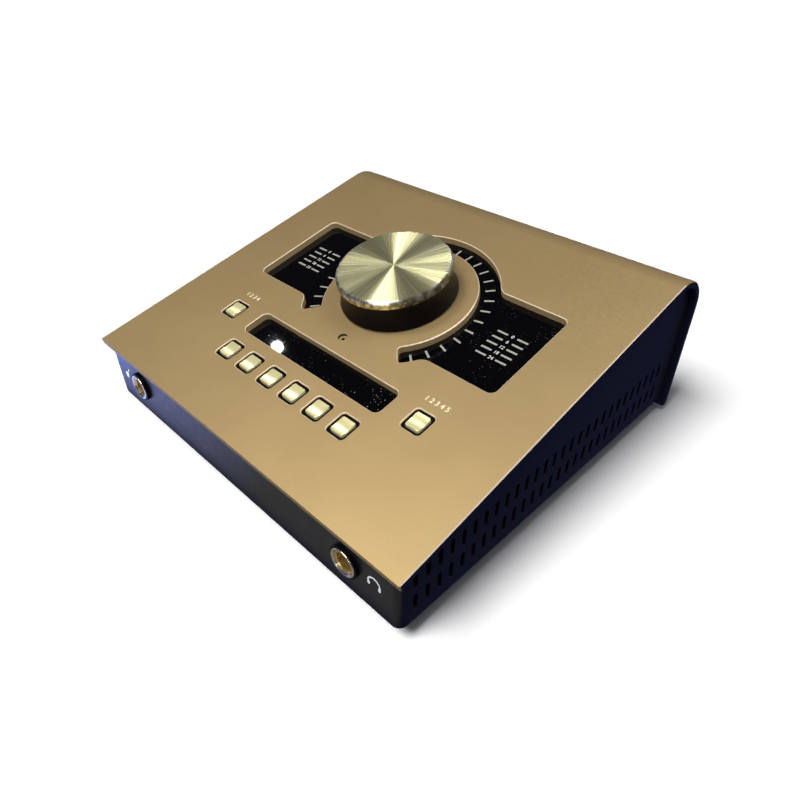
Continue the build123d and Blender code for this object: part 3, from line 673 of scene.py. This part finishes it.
def make_backdrop():
    """A pale dome round the floor that only the camera sees, so no horizon shows behind the object."""
    made = Finish("backdrop_paint", Roughness=0.9, Emission_Strength=0.98)
    made.colour(made.noise(180, 3), (0.10, 0.10, 0.10), (0.11, 0.11, 0.11))
    made.surface.inputs["Emission Color"].default_value = (1, 1, 1, 1)
    bm = bmesh.new()
    bmesh.ops.create_uvsphere(bm, u_segments=48, v_segments=24, radius=2.9)
    bmesh.ops.reverse_faces(bm, faces=bm.faces[:])
    dome = studio_object("backdrop", bm, made.material)
    dome.visible_glossy = False
    dome.visible_diffuse = False
    dome.visible_transmission = False
    dome.visible_shadow = False


# ------------------------------------------------------------------ lights
def soft_light(name, direction, distance, size, power, colour=(1, 1, 1), shape="SQUARE", along=None):
    """Area light that faces the middle of the object from a direction.

    A RECTANGLE is a strip whose long side lies along a second direction.
    """
    data = bpy.data.lights.new(name, "AREA")
    data.shape = shape
    data.size = size
    data.energy = power
    data.color = colour
    lamp = bpy.data.objects.new(name, data)
    target = (cad_low + cad_high) / 2
    towards = Vector(direction).normalized()
    lamp.location = target + towards * distance
    lamp.rotation_mode = "QUATERNION"
    if along:
        data.size_y = size / 5
        across = Vector(along) - towards * Vector(along).dot(towards)
        across.normalize()
        turned = Matrix((across, towards.cross(across), towards)).transposed()
        lamp.rotation_quaternion = turned.to_quaternion()
    else:
        lamp.rotation_quaternion = (-towards).to_track_quat("-Z", "Y")
    scene.collection.objects.link(lamp)
    return lamp


def sun(name, direction, strength, spread):
    """Even light from one side of the sky, softened over spread degrees."""
    data = bpy.data.lights.new(name, "SUN")
    data.energy = strength
    data.angle = math.radians(spread)
    lamp = bpy.data.objects.new(name, data)
    lamp.rotation_mode = "QUATERNION"
    lamp.rotation_quaternion = (-Vector(direction)).to_track_quat("-Z", "Y")
    scene.collection.objects.link(lamp)
    return lamp


def glow_along(tree, axis, shader, stops):
    """Colours a glowing shader along one axis of the generated coordinates, by (position, colour) stops."""
    coordinates = tree.nodes.new("ShaderNodeTexCoord")
    split = tree.nodes.new("ShaderNodeSeparateXYZ")
    ramp = tree.nodes.new("ShaderNodeValToRGB")
    tree.links.new(coordinates.outputs["Generated"], split.inputs[0])
    tree.links.new(split.outputs[axis], ramp.inputs["Fac"])
    tree.links.new(ramp.outputs["Color"], shader.inputs["Color"])
    set_stops(ramp.color_ramp.elements, stops)


def make_world():
    """Pale light from above that darkens to a deep blue grey at and below the horizon."""
    world = bpy.data.worlds.new("studio")
    world.use_nodes = True
    background = world.node_tree.nodes["Background"]
    glow_along(world.node_tree, "Z", background,
               ((0.0, (0.020, 0.024, 0.078)), (0.9, (0.049, 0.049, 0.047))))
    background.inputs["Strength"].default_value = 1.0
    scene.world = world


def light_only(lamp, receivers, state):
    """Lets a lamp light only the receivers (INCLUDE), or everything but them (EXCLUDE)."""
    chosen = bpy.data.collections.new(lamp.name + "_receivers")
    for receiver in receivers:
        chosen.objects.link(receiver)
    for entry in chosen.collection_objects:
        entry.light_linking.link_state = state
    lamp.light_linking.receiver_collection = chosen


def make_reflection_card():
    """A glowing card in front of the object, blue at the left, that only its reflections see."""
    data = bpy.data.materials.new("card_glow")
    data.use_nodes = True
    tree = data.node_tree
    tree.nodes.remove(tree.nodes["Principled BSDF"])
    glow = tree.nodes.new("ShaderNodeEmission")
    glow.inputs["Strength"].default_value = 1.6
    tree.links.new(glow.outputs["Emission"], tree.nodes["Material Output"].inputs["Surface"])
    glow_along(tree, "X", glow,
               ((0.2, (0.44, 0.80, 2.6)), (0.36, (0.46, 0.52, 1.05)), (0.62, (0.14, 0.135, 0.12))))
    bm = bmesh.new()
    bmesh.ops.create_grid(bm, x_segments=1, y_segments=1, size=0.5)
    card = studio_object("reflection_card", bm, data)
    card.scale = (0.36, 0.12, 1)
    card.location = (-0.04, FRONT_FACE - 0.064, 0.001)
    card.visible_camera = False
    card.visible_diffuse = False
    card.visible_shadow = False


floor = make_floor()
make_backdrop()
make_world()
top_shell = nodes["top_shell"]
knob_cap = nodes["knob_cap"]
button_caps = [nodes[name] for name in nodes
               if name.startswith("row_button") or name.endswith("_button")]
socket_metal = [nodes[name] for name in nodes
                if name.endswith("_socket_ring") or name.endswith("_socket_sleeve")]
lenses = [nodes["meter_lens"], nodes["display_lens"]]

# the case
KEY_DIRECTION = (-0.31, -0.25, 0.917)
key = soft_light("key", KEY_DIRECTION, 0.9, 0.20, 1.75, (1.0, 0.97, 0.92))
right_side = soft_light("right_side", (0.45, 0.25, 0.86), 0.7, 0.40, 2.3)
front = soft_light("front", (0.12, -0.60, 0.79), 0.55, 0.30, 2.05)
rear_fill = soft_light("rear_fill", (0.35, 0.85, 0.30), 0.9, 0.50, 1.5)
rear_key = soft_light("rear_key", (-0.35, 0.85, 0.40), 0.9, 0.50, 3.5)
light_only(key, [floor], "EXCLUDE")
light_only(rear_key, [floor, knob_cap, top_shell], "EXCLUDE")
light_only(right_side, [floor, knob_cap], "EXCLUDE")
light_only(front, [floor, knob_cap], "EXCLUDE")
light_only(rear_fill, [floor, knob_cap, top_shell], "EXCLUDE")

# the knob: each light draws one streak across its turned face
SPARK_DIRECTIONS = ((-0.344, 0.443, 0.828), (-0.306, 0.385, 0.870),
                    (-0.448, 0.540, 0.713), (-0.340, -0.010, 0.939))
knob_lights = [soft_light("knob_key", KEY_DIRECTION, 0.9, 0.20, 3.7),
               soft_light("knob_fill", (-0.10, 0.10, 0.99), 0.9, 3.0, 4.7),
               soft_light("knob_rim", (0.20, -0.90, 0.35), 0.9, 0.5, 3.2)]
for number, direction in enumerate(SPARK_DIRECTIONS, 1):
    knob_lights.append(soft_light("spark_%d" % number, direction, 0.9, 0.02, 0.38, shape="DISK"))
for knob_light in knob_lights:
    light_only(knob_light, [knob_cap], "INCLUDE")

# a round reflection in the windows, a glint in the sockets and a stripe across the button caps
disc = soft_light("small_disc", (-0.723, 0.139, 0.676), 1.2, 0.025, 0.30, shape="DISK")
light_only(disc, [*lenses, knob_cap], "INCLUDE")
socket_light = soft_light("socket_light", (0.45, -0.85, 0.28), 0.9, 0.12, 0.8)
light_only(socket_light, socket_metal, "INCLUDE")
cap_light = soft_light("cap_light", (-0.631, 0.211, 0.747), 0.9, 0.36, 0.8, shape="RECTANGLE",
                       along=(0.828, 0.317, 0.463))
light_only(cap_light, button_caps, "INCLUDE")

# the floor
light_only(sun("floor_side", (-0.12, -0.50, 0.86), 3.64, 26), [floor], "INCLUDE")
light_only(sun("floor_front", (0.10, -0.40, 0.91), 0.45, 70), [floor], "INCLUDE")
make_reflection_card()
